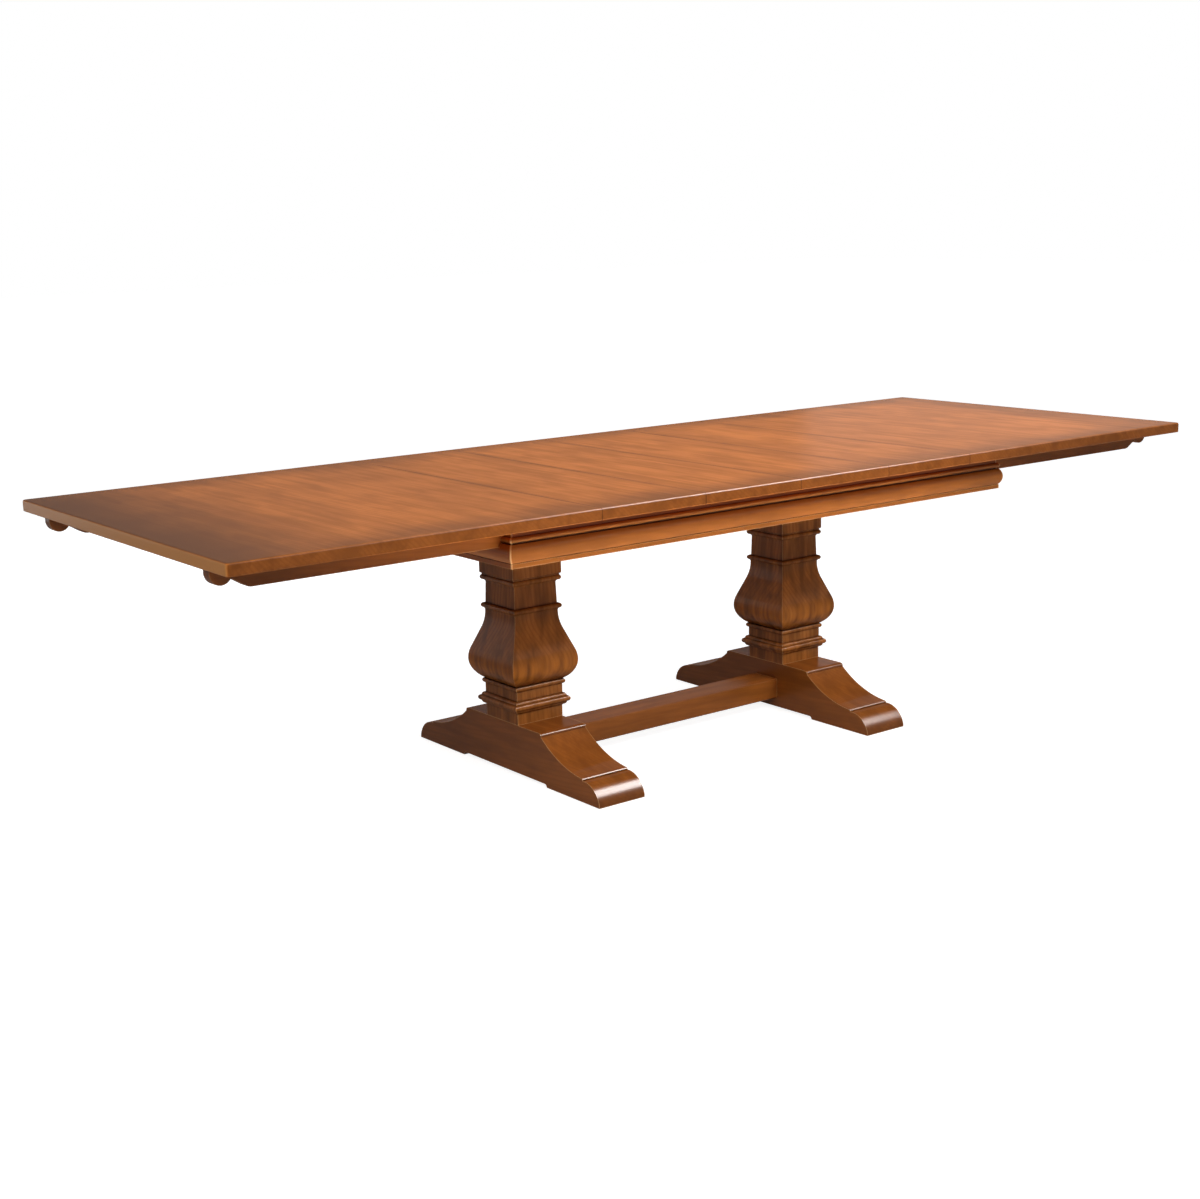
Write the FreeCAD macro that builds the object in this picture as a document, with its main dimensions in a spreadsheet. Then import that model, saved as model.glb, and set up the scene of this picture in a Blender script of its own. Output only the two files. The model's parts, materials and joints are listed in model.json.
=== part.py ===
import FreeCAD, Part
import math
import os
from types import SimpleNamespace

import Sketcher

# Driving sizes in millimetres, with counts and the pressure angle in degrees
SIZES = {
    # Table top: two halves and the leaves between them
    "half_length": 914.4,
    "leaf_width": 304.8,
    "top_width": 1100.0,
    "table_height": 762.0,
    "top_thickness": 28.0,
    "edge_round": 5.0,
    "edge_ease": 2.0,
    "corner_round": 9.0,
    "seam_gap": 0.3,
    # Flat alignment tongues across the seams
    "seam_tongue_width": 60.0,
    "seam_tongue_thickness": 8.0,
    "seam_tongue_glued": 20.0,
    "seam_tongue_free": 15.0,
    "seam_tongue_clearance": 0.4,
    "seam_tongue_inset": 90.0,
    # Moulded apron
    "slide_overlap": 201.4,
    "side_overhang": 71.0,
    "apron_height": 93.5,
    "apron_thickness": 22.0,
    "band_height": 11.0,
    "groove_height": 1.5,
    "groove_depth": 1.5,
    "ovolo_height": 41.5,
    "ovolo_proud": 7.6,
    "quirk_height": 4.0,
    "quirk_depth": 5.0,
    "apron_bead_height": 11.5,
    "apron_bead_proud": 3.0,
    "apron_bead_back": 1.5,
    "fascia_back": 6.0,
    "corner_block_leg": 60.0,
    "corner_block_height": 38.0,
    "corner_block_rise": 2.0,
    # Sliding rails under the halves
    "rail_height": 49.0,
    "rail_thickness": 28.0,
    "rail_lane_gap": 16.0,
    "rail_end_setback": 13.5,
    "rail_inner_gap": 5.0,
    "rail_slope_run": 38.0,
    "rail_slope_rise": 23.0,
    "rail_slope_round": 25.0,
    "rail_bead_width": 47.0,
    "rail_bead_rise": 14.0,
    "rail_bead_radius": 25.5,
    "tongue_height": 15.4,
    "tongue_depth": 9.4,
    "slide_clearance": 0.5,
    # Fixed guide rails and cross bearers
    "guide_thickness": 28.0,
    "guide_groove_side": 0.6,
    "bearer_width": 150.0,
    "centre_bearer_width": 110.0,
    "bearer_height": 40.0,
    "housing_depth": 6.0,
    # Pedestal columns, from the foot upwards
    "pedestal_spacing": 914.4,
    "plinth_half": 70.0,
    "plinth_height": 29.0,
    "base_step": 2.5,
    "base_round": 8.0,
    "torus_height": 15.5,
    "torus_proud": 7.0,
    "lower_neck_half": 71.0,
    "lower_neck_height": 24.0,
    "ring_height": 13.5,
    "ring_proud": 6.0,
    "bulb_foot_half": 72.5,
    "bulb_half": 101.5,
    "bulb_lower_height": 51.5,
    "bulb_upper_height": 30.5,
    "bulb_shoulder_half": 95.3,
    "slope_height": 49.5,
    "slope_top_half": 75.8,
    "waist_height": 47.0,
    "waist_half": 66.8,
    "waist_straight": 2.0,
    "collar_cove_height": 4.5,
    "collar_cove_proud": 2.2,
    "collar_bead_height": 13.5,
    "collar_bead_proud": 5.5,
    "neck_height": 54.0,
    "neck_foot_half": 65.6,
    "neck_top_half": 64.2,
    "cap_cove_height": 6.5,
    "astragal_height": 12.5,
    "astragal_proud": 3.6,
    "cap_quirk_half": 71.0,
    "cap_quirk_height": 3.5,
    "block_half": 75.0,
    "block_height": 128.5,
    "column_tenon_half": 40.0,
    "column_tenon_length": 10.0,
    # Trestle feet
    "foot_width": 140.0,
    "foot_height": 137.0,
    "toe_reach": 404.0,
    "toe_upright": 7.0,
    "toe_ridge_reach": 338.0,
    "toe_ridge_height": 60.5,
    "toe_step": 4.5,
    "toe_round": 62.0,
    "instep_round": 300.0,
    "shoulder_reach": 169.0,
    "shoulder_height": 127.5,
    "shoulder_step": 5.5,
    "shoulder_flat_reach": 157.0,
    "shoulder_round": 18.0,
    "pad_inner_reach": 187.0,
    "relief_height": 9.5,
    "glide_thickness": 1.5,
    "glide_width": 110.0,
    "glide_length": 40.0,
    "glide_reach": 300.0,
    # Stretcher
    "stretcher_width": 94.0,
    "stretcher_height": 57.0,
    "stretcher_bottom": 35.0,
    "tenon_width": 60.0,
    "tenon_height": 36.0,
    "tenon_length": 30.0,
    "tenon_clearance": 0.2,
    # Tie rods of the pedestals
    "rod_radius": 5.0,
    "rod_clearance": 1.0,
    "rod_thread_end": 4.0,
    "nut_side": 22.0,
    "nut_thickness": 10.0,
    "counterbore_radius": 16.0,
    "counterbore_depth": 18.0,
    # Battens under the halves
    "batten_setback": 40.0,
    "batten_width": 60.0,
    "batten_height": 23.0,
    "batten_end_gap": 9.5,
    # Equalising gear: one pinion between two racks
    "gear_module": 6.0,
    "pinion_teeth": 12.0,
    "pressure_angle": 25.0,
    "gear_backlash": 0.4,
    "gear_root_gap": 1.0,
    "pinion_thickness": 16.5,
    "axle_radius": 5.0,
    "axle_running_gap": 0.06,
    "axle_depth": 30.0,
    "axle_head_side": 15.0,
    "axle_head_height": 4.0,
    "axle_end_play": 0.5,
    "rack_lead_gaps": 4.0,
    "rack_back": 18.0,
    "rack_height": 18.0,
    "keeper_length": 60.0,
    "keeper_wall": 20.0,
    "keeper_lip": 12.5,
    "keeper_lip_height": 5.0,
}

LEAVES = 4
SEAM_TONGUES = 4
SHEET_NAME = "Sizes"

doc = FreeCAD.newDocument("double_pedestal_table")
sheet = doc.addObject("Spreadsheet::Sheet", SHEET_NAME)


class Dim:
    """A length that also carries its formula in the sheet's names."""

    def __init__(self, value, formula):
        self.value = value
        self.formula = formula

    def join(self, mark, other, value):
        return Dim(value, f"({self.formula} {mark} {other.formula})")

    def __add__(self, other):
        other = dim(other)
        return self.join("+", other, self.value + other.value)

    def __sub__(self, other):
        other = dim(other)
        return self.join("-", other, self.value - other.value)

    def __mul__(self, other):
        other = dim(other)
        return self.join("*", other, self.value * other.value)

    def __truediv__(self, other):
        other = dim(other)
        return self.join("/", other, self.value / other.value)

    def __radd__(self, other):
        return dim(other) + self

    def __rsub__(self, other):
        return dim(other) - self

    def __rmul__(self, other):
        return dim(other) * self

    def __neg__(self):
        return dim(-1) * self


def dim(number):
    """A plain number as a length with a formula; a length is passed on."""
    return number if isinstance(number, Dim) else Dim(float(number), repr(float(number)))


def whole(length):
    """The whole number of times that a quotient holds."""
    return Dim(math.floor(length.value), f"floor({length.formula})")


def fill_sheet():
    """Write every driving size to its own named cell and return the lengths by name."""
    lengths = SimpleNamespace()
    for row, (alias, number) in enumerate(SIZES.items(), start=1):
        sheet.set(f"A{row}", alias)
        sheet.set(f"B{row}", str(number))
        sheet.setAlias(f"B{row}", alias)
        setattr(lengths, alias, Dim(number, f"{SHEET_NAME}.{alias}"))
    doc.recompute()
    return lengths


S = fill_sheet()
nodes = {}


def bind(item, prop, length):
    item.setExpression(prop, dim(length).formula)


def new_body(label):
    body = doc.addObject("PartDesign::Body", label)
    body.Label = label
    body.AllowCompound = True
    nodes[label] = body
    return body


def place(body, x=0, y=0, z=0, turned=False):
    """Put a body at a point, turned half round about the upright axis if asked."""
    angle = 180 if turned else 0
    body.Placement = FreeCAD.Placement(
        FreeCAD.Vector(dim(x).value, dim(y).value, dim(z).value),
        FreeCAD.Rotation(FreeCAD.Vector(0, 0, 1), angle),
    )
    for axis, length in zip("xyz", (x, y, z)):
        bind(body, f"Placement.Base.{axis}", length)


def sketch_on(body, plane, offset=0):
    """An empty sketch on one of the body's own planes, moved along that plane's normal."""
    sketch = body.newObject("Sketcher::SketchObject", f"{body.Label}_sketch")
    support = next(item for item in body.Origin.OriginFeatures if item.Role == plane)
    sketch.AttachmentSupport = [(support, "")]
    sketch.MapMode = "FlatFace"
    bind(sketch, "AttachmentOffset.Base.z", offset)
    return sketch


def hold_coordinate(sketch, axis, corner, length):
    """Fix one coordinate of a sketch point to a length in the sheet."""
    geometry, position = corner
    if length.value == 0:
        axis_line = -2 if axis == "X" else -1
        sketch.addConstraint(Sketcher.Constraint("PointOnObject", geometry, position, axis_line))
        return
    if length.value > 0:
        ends = (-1, 1, geometry, position)
        shown = length
    else:
        ends = (geometry, position, -1, 1)
        shown = -length
    index = sketch.addConstraint(Sketcher.Constraint(f"Distance{axis}", *ends, shown.value))
    bind(sketch, f"Constraints[{index}]", shown)


def hold_radius(sketch, geometry, radius):
    index = sketch.addConstraint(Sketcher.Constraint("Radius", geometry, radius.value))
    bind(sketch, f"Constraints[{index}]", radius)


def add_arc(sketch, start, end, radius, rounded):
    """A short arc between two points; a rounded one turns anticlockwise, a cove clockwise."""
    chord = end - start
    middle = (start + end) * 0.5
    height = math.sqrt(max(radius ** 2 - (chord.Length / 2) ** 2, 0))
    left = FreeCAD.Vector(-chord.y, chord.x, 0).normalize()
    centre = middle + left * (height if rounded else -height)
    first, last = (start, end) if rounded else (end, start)
    angles = [math.atan2(point.y - centre.y, point.x - centre.x) for point in (first, last)]
    circle = Part.Circle(centre, FreeCAD.Vector(0, 0, 1), radius)
    geometry = sketch.addGeometry(Part.ArcOfCircle(circle, *angles))
    return ((geometry, 1), (geometry, 2)) if rounded else ((geometry, 2), (geometry, 1))


def add_outline(sketch, path):
    """Draw a closed outline of lines, rounds and coves, every corner held by its coordinates."""
    corners = [(dim(step[1]), dim(step[2])) for step in path]
    points = [FreeCAD.Vector(u.value, v.value, 0) for u, v in corners]
    ends = []
    for index, start in enumerate(points):
        following = (index + 1) % len(path)
        step = path[following]
        if step[0] == "line":
            geometry = sketch.addGeometry(Part.LineSegment(start, points[following]))
            ends.append(((geometry, 1), (geometry, 2)))
        else:
            radius = dim(step[3])
            ends.append(add_arc(sketch, start, points[following], radius.value, step[0] == "round"))
    for index, (near, far) in enumerate(ends):
        following = (index + 1) % len(path)
        sketch.addConstraint(Sketcher.Constraint("Coincident", *far, *ends[following][0]))
        if path[following][0] != "line":
            hold_radius(sketch, near[0], dim(path[following][3]))
        hold_coordinate(sketch, "X", near, corners[index][0])
        hold_coordinate(sketch, "Y", near, corners[index][1])


def add_circles(sketch, centres, radius):
    for u, v in centres:
        u, v, radius = dim(u), dim(v), dim(radius)
        centre = FreeCAD.Vector(u.value, v.value, 0)
        circle = Part.Circle(centre, FreeCAD.Vector(0, 0, 1), radius.value)
        geometry = sketch.addGeometry(circle)
        hold_radius(sketch, geometry, radius)
        hold_coordinate(sketch, "X", (geometry, 3), u)
        hold_coordinate(sketch, "Y", (geometry, 3), v)


def rectangle(u0, u1, v0, v1):
    return [("line", u0, v0), ("line", u1, v0), ("line", u1, v1), ("line", u0, v1)]


def mirrored(path):
    """The same edge seen in a mirror on the vertical axis, followed the other way."""
    steps = [("line", -dim(path[-1][1]), path[-1][2])]
    for index in range(len(path) - 1, 0, -1):
        before = path[index - 1]
        steps.append((path[index][0], -dim(before[1]), before[2], *path[index][3:]))
    return steps


def pad(body, sketch, length, symmetric=False):
    feature = body.newObject("PartDesign::Pad", f"{body.Label}_pad")
    feature.Profile = sketch
    feature.SideType = "Symmetric" if symmetric else "One side"
    bind(feature, "Length", length)
    return feature


def pocket(body, sketch, depth=None, along_normal=False):
    """Cut a sketch out: right through both ways, or to a depth against or along its normal."""
    feature = body.newObject("PartDesign::Pocket", f"{body.Label}_pocket")
    feature.Profile = sketch
    if depth is None:
        feature.SideType = "Symmetric"
        feature.Type = "ThroughAll"
    else:
        feature.Reversed = along_normal
        bind(feature, "Length", depth)
    return feature


def block(label, x_span, y_span, z_span):
    """A plain squared piece between three pairs of faces."""
    body = new_body(label)
    sketch = sketch_on(body, "XY_Plane", z_span[0])
    add_outline(sketch, rectangle(*x_span, *y_span))
    pad(body, sketch, dim(z_span[1]) - z_span[0])
    return body


def drill(body, centres, radius, level, depth, upwards):
    """Round holes from a level, up or down."""
    sketch = sketch_on(body, "XY_Plane", level)
    add_circles(sketch, centres, radius)
    return pocket(body, sketch, depth, along_normal=upwards)


def drill_through(body, centres, radius):
    sketch = sketch_on(body, "XY_Plane")
    add_circles(sketch, centres, radius)
    return pocket(body, sketch)


def discs(body, centres, radius, level, height):
    """Upright round bars of one height, as separate solids or as one more step of a bar."""
    sketch = sketch_on(body, "XY_Plane", level)
    add_circles(sketch, centres, radius)
    return pad(body, sketch, height)


def recess(body, middle_x, half_side, level, depth, upwards):
    """A square mortise from a level, up or down, about a point on the length axis."""
    sketch = sketch_on(body, "XY_Plane", level)
    add_outline(sketch, rectangle(middle_x - half_side, middle_x + half_side, -half_side, half_side))
    return pocket(body, sketch, depth, along_normal=upwards)


def bow_radius(width, rise):
    """Radius of an arc from its chord and its rise."""
    return (width * width / 4 + rise * rise) / (2 * rise)


def sweep_radius(length, run):
    """Radius of an arc that leaves one direction square and drifts sideways by a run."""
    return (length * length + run * run) / (2 * run)


# Heights and places that the pieces share
underside = S.table_height - S.top_thickness
frame_top = underside - S.slide_clearance
rail_bottom = underside - S.rail_height
bearer_top = rail_bottom - S.slide_clearance
bearer_bottom = bearer_top - S.bearer_height
apron_bottom = frame_top - S.apron_height
column_height = bearer_bottom - S.foot_height
pedestal_x = S.pedestal_spacing / 2

leaf_reach = S.leaf_width * LEAVES / 2
table_end = leaf_reach + S.half_length
apron_x = leaf_reach + S.slide_overlap
apron_y = S.top_width / 2 - S.side_overhang
apron_inner_x = apron_x - S.apron_thickness
apron_inner_y = apron_y - S.apron_thickness

rail_outer_y = apron_inner_y - S.rail_lane_gap
rail_inner_y = rail_outer_y - S.rail_thickness
rail_mid_y = rail_outer_y - S.rail_thickness / 2
rail_start = leaf_reach + S.rail_inner_gap
rail_end = table_end - S.rail_end_setback
rail_slope_start = rail_end - S.rail_bead_width - S.rail_slope_run
tongue_middle = rail_bottom + S.rail_height / 2

guide_outer_y = rail_inner_y - S.slide_clearance
guide_inner_y = guide_outer_y - S.guide_thickness
groove_depth = S.tongue_depth + S.guide_groove_side

batten_start = leaf_reach + S.batten_setback
batten_end = batten_start + S.batten_width
batten_bottom = underside - S.batten_height

pitch_radius = S.gear_module * S.pinion_teeth / 2
rack_pitch = S.gear_module * math.pi
rack_tip_y = pitch_radius - S.gear_module
rack_root_y = pitch_radius + S.gear_module + S.gear_root_gap
rack_back_y = rack_root_y + S.rack_back
rack_run_gaps = whole(batten_start / rack_pitch)
rack_bottom = bearer_top + S.slide_clearance
rack_top = rack_bottom + S.rack_height

seam_tongue_reach = S.top_width / 2 - S.seam_tongue_inset
seam_tongue_step = 2 * seam_tongue_reach / (SEAM_TONGUES - 1)
seam_tongue_rows = [seam_tongue_step * row - seam_tongue_reach for row in range(SEAM_TONGUES)]
seam_tongue_level = underside + S.top_thickness / 2
SAME_PLACE = 1e-6


def seam_row(body, x, clearance):
    """A sketch across the table with the row of tongues, each with a clearance all round."""
    sketch = sketch_on(body, "YZ_Plane", x)
    side = S.seam_tongue_width / 2 + clearance
    rise = S.seam_tongue_thickness / 2 + clearance
    for y in seam_tongue_rows:
        span = (seam_tongue_level - rise, seam_tongue_level + rise)
        add_outline(sketch, rectangle(y - side, y + side, *span))
    return sketch


def tongue_mortises(body, seam, glued, towards_plus):
    """A row of mortises in a panel's edge, where the tongues are glued in or slide in loosely."""
    depth = S.seam_tongue_glued if glued else S.seam_tongue_free + S.seam_tongue_clearance
    sketch = seam_row(body, seam, dim(0) if glued else S.seam_tongue_clearance)
    pocket(body, sketch, depth, along_normal=towards_plus)


def dress_edges(body, kind, size_name, picks, size):
    """Round or bevel the edges that a test picks on the body's latest feature."""
    doc.recompute()
    base = body.Tip
    names = [f"Edge{n}" for n, edge in enumerate(base.Shape.Edges, start=1) if picks(edge)]
    feature = body.newObject(f"PartDesign::{kind}", f"{body.Label}_edge")
    feature.Base = (base, names)
    bind(feature, size_name, size)


def dress_panel(body, outer):
    """Round a panel's upper edge and ease its lower one, wherever a test says it shows."""
    def at(level):
        def picks(edge):
            box = edge.BoundBox
            return max(abs(box.ZMin - level), abs(box.ZMax - level)) < SAME_PLACE and outer(edge)
        return picks

    dress_edges(body, "Fillet", "Radius", at(S.table_height.value), S.edge_round)
    dress_edges(body, "Chamfer", "Size", at(underside.value), S.edge_ease)


def leaf(label, middle):
    """A loose leaf: rounded at both ends, tongues in its right edge, mortises in its left."""
    half = S.leaf_width / 2 - S.seam_gap / 2
    body = block(label, (-half, half), (-S.top_width / 2, S.top_width / 2), (underside, S.table_height))
    edge_y = S.top_width.value / 2
    dress_panel(body, lambda edge: abs(abs(edge.CenterOfMass.y) - edge_y) < SAME_PLACE)
    tongue_mortises(body, half, glued=True, towards_plus=False)
    tongue_mortises(body, -half, glued=False, towards_plus=True)
    place(body, x=middle)


def seam_tongues(label, seam):
    """The row of tongues glued into the panel on the left of a seam."""
    body = new_body(label)
    sketch = seam_row(body, seam - S.seam_gap / 2 - S.seam_tongue_glued, dim(0))
    pad(body, sketch, S.seam_tongue_glued + S.seam_gap + S.seam_tongue_free)


def top_half(label, glued, turned):
    """An end half of the top, its outer corners rounded in plan."""
    body = new_body(label)
    inner, outer, side = leaf_reach + S.seam_gap / 2, table_end, S.top_width / 2
    sketch = sketch_on(body, "XY_Plane", underside)
    add_outline(sketch, [
        ("line", inner, -side),
        ("line", outer - S.corner_round, -side),
        ("round", outer, S.corner_round - side, S.corner_round),
        ("line", outer, side - S.corner_round),
        ("round", outer - S.corner_round, side, S.corner_round),
        ("line", inner, side),
    ])
    pad(body, sketch, S.top_thickness)
    dress_panel(body, lambda edge: edge.BoundBox.XMax > inner.value + SAME_PLACE)
    tongue_mortises(body, inner, glued, towards_plus=True)
    place(body, turned=turned)


def sliding_rail(label, side, turned):
    """A side rail with a sloped and beaded end, and a tongue on its inner face."""
    body = new_body(label)
    slope_end = rail_slope_start + S.rail_slope_run
    slope = math.atan2(S.rail_slope_rise.value, S.rail_slope_run.value)
    tangent = S.rail_slope_round * math.tan(slope / 2)
    bead_rise = S.rail_slope_rise + S.rail_bead_rise
    sketch = sketch_on(body, "XZ_Plane", -side * rail_mid_y)
    add_outline(sketch, [
        ("line", rail_start, rail_bottom),
        ("line", rail_slope_start - tangent, rail_bottom),
        ("round", rail_slope_start + tangent * math.cos(slope), rail_bottom + tangent * math.sin(slope),
         S.rail_slope_round),
        ("line", slope_end, rail_bottom + S.rail_slope_rise),
        ("round", rail_end, rail_bottom + bead_rise, S.rail_bead_radius),
        ("line", rail_end, underside),
        ("line", rail_start, underside),
    ])
    pad(body, sketch, S.rail_thickness, symmetric=True)
    tongue = sketch_on(body, "YZ_Plane", rail_start)
    face, tip = side * rail_inner_y, side * (rail_inner_y - S.tongue_depth)
    low, high = tongue_middle - S.tongue_height / 2, tongue_middle + S.tongue_height / 2
    add_outline(tongue, rectangle(face, tip, low, high))
    pad(body, tongue, rail_slope_start - rail_start)
    place(body, turned=turned)


def rack(label, turned):
    """A toothed bar that hangs from the batten and runs along one side of the pinion."""
    body = new_body(label)
    start = -(S.rack_lead_gaps + 1) * rack_pitch
    toothed_end = rack_run_gaps * rack_pitch
    bar = sketch_on(body, "XY_Plane", rack_bottom)
    add_outline(bar, [
        ("line", start, -rack_back_y),
        ("line", batten_end, -rack_back_y),
        ("line", batten_end, -rack_root_y),
        ("line", toothed_end, -rack_root_y),
        ("line", toothed_end, -rack_tip_y),
        ("line", start, -rack_tip_y),
    ])
    pad(body, bar, S.rack_height)
    riser = sketch_on(body, "XY_Plane", rack_top)
    add_outline(riser, rectangle(batten_start, batten_end, -rack_back_y, -rack_root_y))
    pad(body, riser, batten_bottom - rack_top)
    flank = math.tan(math.radians(S.pressure_angle.value))
    pitch_half = rack_pitch / 4 + S.gear_backlash / 2
    tip_half = pitch_half + S.gear_module * flank
    root_half = pitch_half - (S.gear_module + S.gear_root_gap) * flank
    middle = -S.rack_lead_gaps * rack_pitch
    gap = sketch_on(body, "XY_Plane", rack_bottom)
    add_outline(gap, [
        ("line", middle - root_half, -rack_root_y),
        ("line", middle + root_half, -rack_root_y),
        ("line", middle + tip_half, -rack_tip_y),
        ("line", middle - tip_half, -rack_tip_y),
    ])
    cut = pocket(body, gap, S.rack_height, along_normal=True)
    doc.recompute()
    teeth = body.newObject("PartDesign::LinearPattern", f"{label}_teeth")
    teeth.Originals = [cut]
    along = next(item for item in body.Origin.OriginFeatures if item.Role == "X_Axis")
    teeth.Direction = (along, [""])
    gaps = rack_run_gaps + S.rack_lead_gaps
    bind(teeth, "Length", (gaps - 1) * rack_pitch)
    bind(teeth, "Occurrences", gaps)
    body.Tip = teeth
    place(body, turned=turned)


def pinion():
    """The equalising gear: teeth with involute flanks, drawn as arcs, one pointing at each rack."""
    count = int(S.pinion_teeth.value)
    pitch = pitch_radius.value
    angle = math.radians(S.pressure_angle.value)
    base_radius = pitch * math.cos(angle)
    tip_radius = pitch + S.gear_module.value
    root_radius = pitch - S.gear_module.value - S.gear_root_gap.value
    tooth_half = math.pi / (2 * count) - S.gear_backlash.value / (2 * pitch)

    def involute(radius):
        lean = math.acos(min(base_radius / radius, 1))
        return math.tan(lean) - lean

    def spot(radius, turn):
        return FreeCAD.Vector(radius * math.cos(turn), radius * math.sin(turn), 0)

    flank_start = max(base_radius, root_radius)
    radii = [flank_start, (flank_start + tip_radius) / 2, tip_radius]
    halves = [tooth_half + involute(pitch) - involute(radius) for radius in radii]
    edges = []
    for tooth in range(count):
        middle = math.pi / 2 + 2 * math.pi * tooth / count
        following = middle + 2 * math.pi / count
        rising = [spot(radius, middle - half) for radius, half in zip(radii, halves)]
        falling = [spot(radius, middle + half) for radius, half in zip(radii, halves)][::-1]
        root_in = spot(root_radius, middle - halves[0])
        root_out = spot(root_radius, middle + halves[0])
        next_root = spot(root_radius, following - halves[0])
        for points in (rising, falling):
            edges.append(Part.Arc(*points).toShape())
        edges.append(Part.makeLine(root_in, rising[0]))
        edges.append(Part.Arc(rising[-1], spot(tip_radius, middle), falling[0]).toShape())
        edges.append(Part.makeLine(falling[-1], root_out))
        valley = spot(root_radius, middle + math.pi / count)
        edges.append(Part.Arc(root_out, valley, next_root).toShape())
    wire = Part.Wire(Part.__sortEdges__(edges))
    thickness = S.pinion_thickness.value
    gear = Part.Face(wire).extrude(FreeCAD.Vector(0, 0, thickness))
    bore = Part.makeCylinder(S.axle_radius.value + S.axle_running_gap.value, thickness)
    item = doc.addObject("Part::Feature", "pinion")
    item.Label = "pinion"
    item.Shape = gear.cut(bore)
    level = bearer_top + S.axle_running_gap
    item.Placement = FreeCAD.Placement(FreeCAD.Vector(0, 0, level.value), FreeCAD.Rotation())
    nodes["pinion"] = item


def apron_profile(face):
    """Section of the apron moulding, from its lower inner corner outwards and up."""
    inner = face - S.apron_thickness
    band_top = apron_bottom + S.band_height
    ovolo_bottom = band_top + S.groove_height
    ovolo_top = ovolo_bottom + S.ovolo_height
    bead_bottom = ovolo_top + S.quirk_height
    bead_top = bead_bottom + S.apron_bead_height
    bead_face = face - S.apron_bead_back
    return [
        ("line", inner, apron_bottom),
        ("line", face, apron_bottom),
        ("line", face, band_top),
        ("line", face - S.groove_depth, band_top),
        ("line", face - S.groove_depth, ovolo_bottom),
        ("line", face, ovolo_bottom),
        ("round", face, ovolo_top, bow_radius(S.ovolo_height, S.ovolo_proud)),
        ("line", face - S.quirk_depth, ovolo_top),
        ("line", face - S.quirk_depth, bead_bottom),
        ("line", bead_face, bead_bottom),
        ("round", bead_face, bead_top, bow_radius(S.apron_bead_height, S.apron_bead_proud)),
        ("line", face - S.fascia_back, bead_top),
        ("line", face - S.fascia_back, frame_top),
        ("line", inner, frame_top),
    ]


def cut_mitres(body, along, across, swap):
    """Cut both ends of an apron rail to 45 degrees about the apron's corner."""
    spare = S.apron_thickness
    low, high = -(S.apron_thickness + spare), S.ovolo_proud + spare
    corner = [
        ("line", along + low, across + low),
        ("line", along + high, across + low),
        ("line", along + high, across + high),
    ]
    far_corner = [(kind, -u, v) for kind, u, v in corner]
    sketch = sketch_on(body, "XY_Plane")
    for path in (corner, far_corner):
        add_outline(sketch, [(kind, v, u) if swap else (kind, u, v) for kind, u, v in path])
    pocket(body, sketch)


def long_apron(label, turned):
    """A side rail of the apron, housed on its inner face for the three bearers."""
    body = new_body(label)
    sketch = sketch_on(body, "YZ_Plane")
    add_outline(sketch, apron_profile(apron_y))
    pad(body, sketch, 2 * (apron_x + S.ovolo_proud), symmetric=True)
    cut_mitres(body, apron_x, apron_y, swap=False)
    housings = sketch_on(body, "XY_Plane", bearer_bottom)
    for x, width in bearer_places:
        span = (apron_inner_y, apron_inner_y + S.housing_depth)
        add_outline(housings, rectangle(x - width / 2, x + width / 2, *span))
    pocket(body, housings, S.bearer_height, along_normal=True)
    place(body, turned=turned)


def end_apron(label, turned):
    """An end rail of the apron, notched from above where the sliding rails pass."""
    body = new_body(label)
    sketch = sketch_on(body, "XZ_Plane")
    add_outline(sketch, apron_profile(apron_x))
    pad(body, sketch, 2 * (apron_y + S.ovolo_proud), symmetric=True)
    cut_mitres(body, apron_y, apron_x, swap=True)
    notches = sketch_on(body, "YZ_Plane")
    wide, narrow = rail_outer_y + S.slide_clearance, guide_outer_y - groove_depth
    for side in (-1, 1):
        add_outline(notches, rectangle(side * wide, side * narrow, bearer_top, frame_top + S.rail_height))
    pocket(body, notches)
    place(body, turned=turned)


def guide_rail(label, turned):
    """A fixed rail with a groove for the sliding rails' tongues."""
    body = new_body(label)
    low = tongue_middle - S.tongue_height / 2 - S.guide_groove_side
    high = tongue_middle + S.tongue_height / 2 + S.guide_groove_side
    groove_y = guide_outer_y - groove_depth
    sketch = sketch_on(body, "YZ_Plane")
    add_outline(sketch, [
        ("line", guide_inner_y, bearer_top),
        ("line", guide_outer_y, bearer_top),
        ("line", guide_outer_y, low),
        ("line", groove_y, low),
        ("line", groove_y, high),
        ("line", guide_outer_y, high),
        ("line", guide_outer_y, frame_top),
        ("line", guide_inner_y, frame_top),
    ])
    pad(body, sketch, 2 * apron_inner_x, symmetric=True)
    place(body, turned=turned)


def bearer(label, x, width):
    """A cross bearer, housed in both long rails of the apron."""
    reach = apron_inner_y + S.housing_depth
    return block(label, (x - width / 2, x + width / 2), (-reach, reach), (bearer_bottom, bearer_top))


def pedestal_bearer(label, x):
    """A bearer with a mortise below for its column and a seat above for the tie rod's nut."""
    body = bearer(label, x, S.bearer_width)
    recess(body, x, column_mortise_half, bearer_bottom, column_mortise_depth, upwards=True)
    drill_through(body, [(x, 0)], S.rod_radius + S.rod_clearance)
    drill(body, [(x, 0)], S.counterbore_radius, bearer_top, S.counterbore_depth, upwards=False)


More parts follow.
